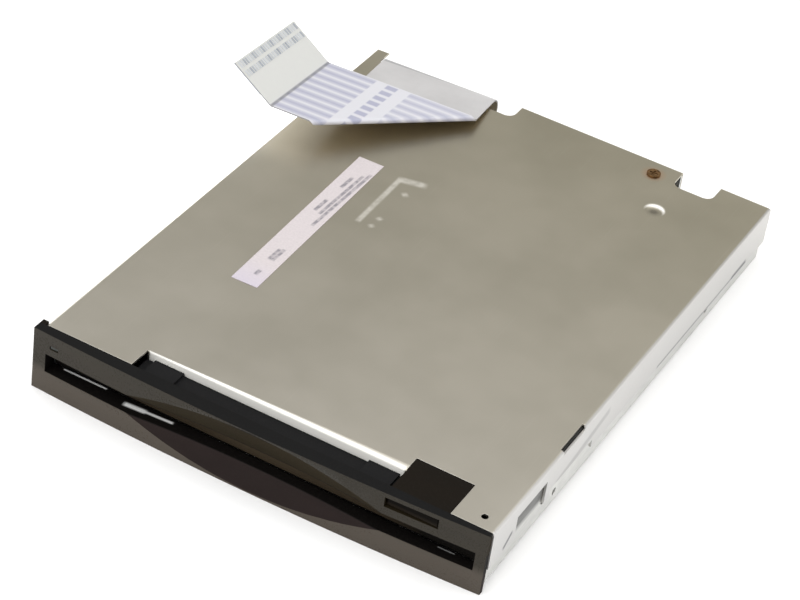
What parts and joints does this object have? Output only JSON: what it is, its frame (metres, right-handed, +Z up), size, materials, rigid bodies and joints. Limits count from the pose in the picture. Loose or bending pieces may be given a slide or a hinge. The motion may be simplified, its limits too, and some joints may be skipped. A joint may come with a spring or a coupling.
{
  "type": "slim floppy disk drive",
  "caption": "Slim 3.5 inch floppy disk drive with a sheet steel cover, bowed dark bezel, dust door, eject button and folded flat cable; disk loading, head and spindle mechanisms move.",
  "frame": {"origin": "centre of the frame's underside, halfway along and across the cover", "axes": "+X to the right seen from the bezel, +Y from the bezel to the rear, +Z up"},
  "size_m": [0.1093, 0.13, 0.0267],
  "materials": {
    "frame_steel": "satin zinc plated sheet",
    "cover_steel": "satin plated sheet, warm grey",
    "bezel_plastic": "fine spark texture, dark brown grey",
    "button_plastic": "fine spark texture",
    "light_pipe": "clear tinted",
    "sheet_steel": "satin",
    "spring_steel": "drawn wire",
    "pin_steel": "ground",
    "acetal": "moulded",
    "core_steel": "coated laminations",
    "copper_wire": "enamelled",
    "bearing_bronze": "sintered",
    "ferrite": "matt",
    "carriage_plastic": "moulded, glass filled",
    "head_ceramic": "lapped",
    "board_laminate": "green solder mask",
    "black_plastic": "moulded",
    "socket_plastic": "moulded",
    "cable_film": "white polyester film",
    "contact_metal": "tinned",
    "stiffener_film": "blue film",
    "label_paper": "coated",
    "screw_metal": "bronze plated"
  },
  "bodies": {
    "chassis": {"frame": "frame_steel", "top_cover": "cover_steel", "cover_screw": "screw_metal", "front_bezel": "bezel_plastic", "activity_light": "light_pipe", "eject_springs": "spring_steel", "spindle_stator": "core_steel", "spindle_coils": "copper_wire", "spindle_bush": "bearing_bronze", "stepper_motor": "sheet_steel", "stepper_bracket": "frame_steel", "bracket_screws": "pin_steel", "guide_rods": "pin_steel", "rod_clips": "black_plastic", "main_board": "board_laminate", "board_chips": "black_plastic", "board_screws": "pin_steel", "track_sensor": "black_plastic", "cable_socket": "socket_plastic", "switch_bodies": "black_plastic", "flat_cable": "cable_film", "cable_contacts": "contact_metal", "cable_stiffener": "stiffener_film", "label": "label_paper"},
    "ejector": {"slider_plate": "sheet_steel", "eject_button": "button_plastic"},
    "holder": {"disk_holder": "sheet_steel", "holder_pins": "pin_steel", "lever_pin": "pin_steel"},
    "lever": {"shutter_lever": "acetal"},
    "door": {"dust_door": "bezel_plastic"},
    "carriage": {"head_carriage": "carriage_plastic", "follower_pin": "pin_steel", "lower_head": "head_ceramic", "arm_pin": "pin_steel"},
    "head_arm": {"upper_head_arm": "sheet_steel", "upper_head": "head_ceramic"},
    "screw": {"lead_screw": "pin_steel"},
    "spindle": {"rotor_cup": "sheet_steel", "rotor_magnet": "ferrite", "hub_table": "pin_steel", "hub_magnet": "ferrite", "spindle_shaft": "pin_steel", "drive_pin": "pin_steel"},
    "protect_button": {"protect_plunger": "acetal"},
    "density_button": {"density_plunger": "acetal"}
  },
  "joints": [
    {"name": "eject_slide", "type": "slide", "parent": "chassis", "child": "ejector", "axis": [0, 1, 0], "range_m": [-0.005, 0], "deforming": ["eject_springs"]},
    {"name": "holder_lift", "type": "slide", "parent": "chassis", "child": "holder", "axis": [0, 0, 1], "range_m": [-0.0018, 0]},
    {"name": "lever_swing", "type": "hinge", "parent": "holder", "child": "lever", "pos_m": [-0.034, 0.027, 0.008], "axis": [0, 0, 1], "range_deg": [0, 36], "stiffness_Nm_per_rad": 0.001},
    {"name": "door_swing", "type": "hinge", "parent": "chassis", "child": "door", "pos_m": [0, -0.0612, 0.00785], "axis": [1, 0, 0], "range_deg": [0, 85], "stiffness_Nm_per_rad": 0.0003},
    {"name": "carriage_slide", "type": "slide", "parent": "chassis", "child": "carriage", "axis": [0, 1, 0], "range_m": [-0.0148, 0]},
    {"name": "head_arm_lift", "type": "hinge", "parent": "carriage", "child": "head_arm", "pos_m": [0, 0.053, 0.0069], "axis": [1, 0, 0], "range_deg": [0, 11.5]},
    {"name": "lead_screw_turn", "type": "hinge", "parent": "chassis", "child": "screw", "pos_m": [0.024, 0.045, 0.0056], "axis": [0, 1, 0], "range_deg": [-1421, 0]},
    {"name": "spindle_spin", "type": "hinge", "parent": "chassis", "child": "spindle", "pos_m": [0, -0.007, 0], "axis": [0, 0, 1], "continuous": true},
    {"name": "protect_press", "type": "slide", "parent": "chassis", "child": "protect_button", "axis": [0, 0, 1], "range_m": [-0.0008, 0], "stiffness_N_per_m": 200},
    {"name": "density_press", "type": "slide", "parent": "chassis", "child": "density_button", "axis": [0, 0, 1], "range_m": [-0.0008, 0], "stiffness_N_per_m": 200}
  ],
  "couplings": [
    {"joint": "holder_lift", "follows": "eject_slide", "ratio": 0.36},
    {"joint": "head_arm_lift", "follows": "eject_slide", "rad_per_m": -40.14},
    {"joint": "lead_screw_turn", "follows": "carriage_slide", "rad_per_m": 1675.5}
  ]
}
